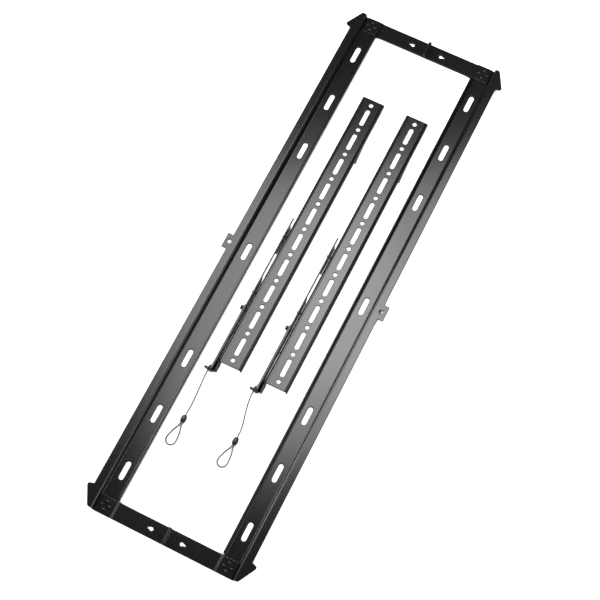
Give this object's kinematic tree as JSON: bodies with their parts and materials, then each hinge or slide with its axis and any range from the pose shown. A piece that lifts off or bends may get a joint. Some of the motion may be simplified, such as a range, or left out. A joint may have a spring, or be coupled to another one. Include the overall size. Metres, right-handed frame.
{
  "type": "fixed tv wall bracket",
  "caption": "Low-profile wall frame of slotted folded rails, with hook-on display arms, each held by a spring latch that a looped pull cord releases.",
  "frame": {"origin": "on the wall side, under the middle of the wall frame", "axes": "+X along the rails, +Y up when the frame hangs on a wall, +Z away from the wall"},
  "size_m": [0.963, 0.2904, 0.02],
  "materials": {
    "frame_coat": "satin",
    "arm_coat": "satin",
    "rivet_coat": "satin",
    "spring_steel": "satin",
    "cord_wire": "satin",
    "crimp_metal": "satin"
  },
  "bodies": {
    "bracket": {"upper_rail": "frame_coat", "lower_rail": "frame_coat", "left_end_plate": "frame_coat", "right_end_plate": "frame_coat", "corner_rivets": "rivet_coat", "left_arm": "arm_coat", "left_guide_pins": "rivet_coat", "left_latch_spring": "spring_steel", "right_arm": "arm_coat", "right_guide_pins": "rivet_coat", "right_latch_spring": "spring_steel"},
    "left_latch": {"left_latch_bar": "arm_coat", "left_pull_strap": "arm_coat", "left_strap_rivet": "rivet_coat", "left_cord_stop": "crimp_metal", "left_pull_cord": "cord_wire", "left_cord_loop": "cord_wire", "left_ferrule": "crimp_metal"},
    "right_latch": {"right_latch_bar": "arm_coat", "right_pull_strap": "arm_coat", "right_strap_rivet": "rivet_coat", "right_cord_stop": "crimp_metal", "right_pull_cord": "cord_wire", "right_cord_loop": "cord_wire", "right_ferrule": "crimp_metal"}
  },
  "joints": [
    {"name": "left_latch_slide", "type": "slide", "parent": "bracket", "child": "left_latch", "axis": [-1, 0, 0], "range_m": [0, 0.011], "stiffness_N_per_m": 400, "springref_m": -0.01, "deforming": ["left_latch_spring"]},
    {"name": "right_latch_slide", "type": "slide", "parent": "bracket", "child": "right_latch", "axis": [-1, 0, 0], "range_m": [0, 0.011], "stiffness_N_per_m": 400, "springref_m": -0.01, "deforming": ["right_latch_spring"]}
  ]
}
